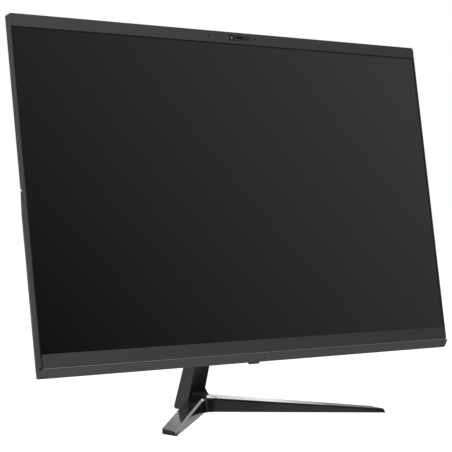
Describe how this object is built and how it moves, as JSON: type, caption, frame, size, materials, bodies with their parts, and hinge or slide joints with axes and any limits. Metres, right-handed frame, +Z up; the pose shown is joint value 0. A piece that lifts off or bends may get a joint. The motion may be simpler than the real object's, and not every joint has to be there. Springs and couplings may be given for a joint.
{
  "type": "all-in-one computer",
  "caption": "Slim all-in-one desktop computer: wide flat screen with a taller top bezel and chin, deeper rear housing, on a slim neck with a V-shaped foot.",
  "frame": {"origin": "on the floor under the middle of the object's box", "axes": "+X to the right seen from the screen's front, +Y to the back, +Z up; the screen faces -Y and leans back 9 degrees"},
  "size_m": [0.612, 0.1886, 0.447],
  "materials": {
    "bezel_plastic": "fine horizontal hairline, dark grey",
    "bevel_band": "satin dark grey with a bright upper edge",
    "screen_glass": "semi-gloss anti-glare black",
    "cover_plastic": "fine-grained dark grey moulding",
    "foot_metal": "polished black chrome",
    "neck_metal": "gloss black front, satin sides",
    "steel": "zinc-plated",
    "rubber": "matt",
    "light_guide": "clear acrylic and white film",
    "clear_plastic": "clear moulding",
    "circuit_board": "green solder mask",
    "chip": "black epoxy",
    "copper": "bare copper",
    "aluminium": "bare sheet",
    "socket_shell": "nickel-plated shell",
    "black_plastic": "moulded black"
  },
  "bodies": {
    "stand": {"foot": "foot_metal", "foot_pad_left": "rubber", "foot_pad_right": "rubber", "foot_pad_rear": "rubber", "base_screw_left": "steel", "base_screw_right": "steel", "neck_shell": "neck_metal", "neck_core": "steel", "neck_rear_cover": "cover_plastic", "hinge_pin": "steel", "hinge_nut": "steel", "friction_washer_left": "steel", "friction_washer_right": "steel"},
    "display": {"front_frame": "bezel_plastic", "chin_bezel": "bezel_plastic", "chin_lower_strip": "bevel_band", "lcd_glass": "screen_glass", "rear_cover": "cover_plastic", "rear_housing": "cover_plastic", "hinge_shroud": "cover_plastic", "hinge_bracket": "steel", "hard_drive_bracket": "steel", "lcd_light_guide": "light_guide", "camera_window": "clear_plastic", "camera_light": "clear_plastic", "power_light_pipe": "clear_plastic", "motherboard": "circuit_board", "lcd_driver_board": "circuit_board", "camera_board": "circuit_board", "memory_module_1": "circuit_board", "memory_module_2": "circuit_board", "wireless_card": "circuit_board", "ssd_module": "circuit_board", "processor": "chip", "camera_lens": "chip", "cold_plate": "copper", "heat_pipe": "copper", "radiator_fins": "aluminium", "chassis_plate": "aluminium", "lcd_rear_tray": "aluminium", "hard_drive": "aluminium", "microphone_left": "aluminium", "microphone_right": "aluminium", "network_socket": "socket_shell", "hdmi_socket": "socket_shell", "usb_socket_1": "socket_shell", "usb_socket_2": "socket_shell", "usb_socket_3": "socket_shell", "usb_socket_4": "socket_shell", "fan_housing": "black_plastic", "speaker_left": "black_plastic", "speaker_right": "black_plastic", "io_plate": "black_plastic", "dc_inlet": "black_plastic", "audio_socket": "black_plastic", "power_switch": "black_plastic", "panel_cable": "black_plastic"},
    "shutter": {"camera_shutter": "black_plastic"},
    "button": {"power_button": "black_plastic"},
    "fan": {"fan_rotor": "black_plastic"}
  },
  "joints": [
    {"name": "display_tilt", "type": "hinge", "parent": "stand", "child": "display", "pos_m": [0, 0.01209, 0.21438], "axis": [-1, 0, 0], "range_deg": [-14, 16]},
    {"name": "camera_shutter_slide", "type": "slide", "parent": "display", "child": "shutter", "axis": [-1, 0, 0], "range_m": [0, 0.0105]},
    {"name": "power_button_press", "type": "slide", "parent": "display", "child": "button", "axis": [0, 0.1564, 0.9877], "range_m": [0, 0.0008], "stiffness_N_per_m": 800, "springref_m": -0.0005},
    {"name": "fan_spin", "type": "hinge", "parent": "display", "child": "fan", "pos_m": [-0.098, -0.01968, 0.17486], "axis": [0, 0.9877, -0.1564], "continuous": true}
  ]
}
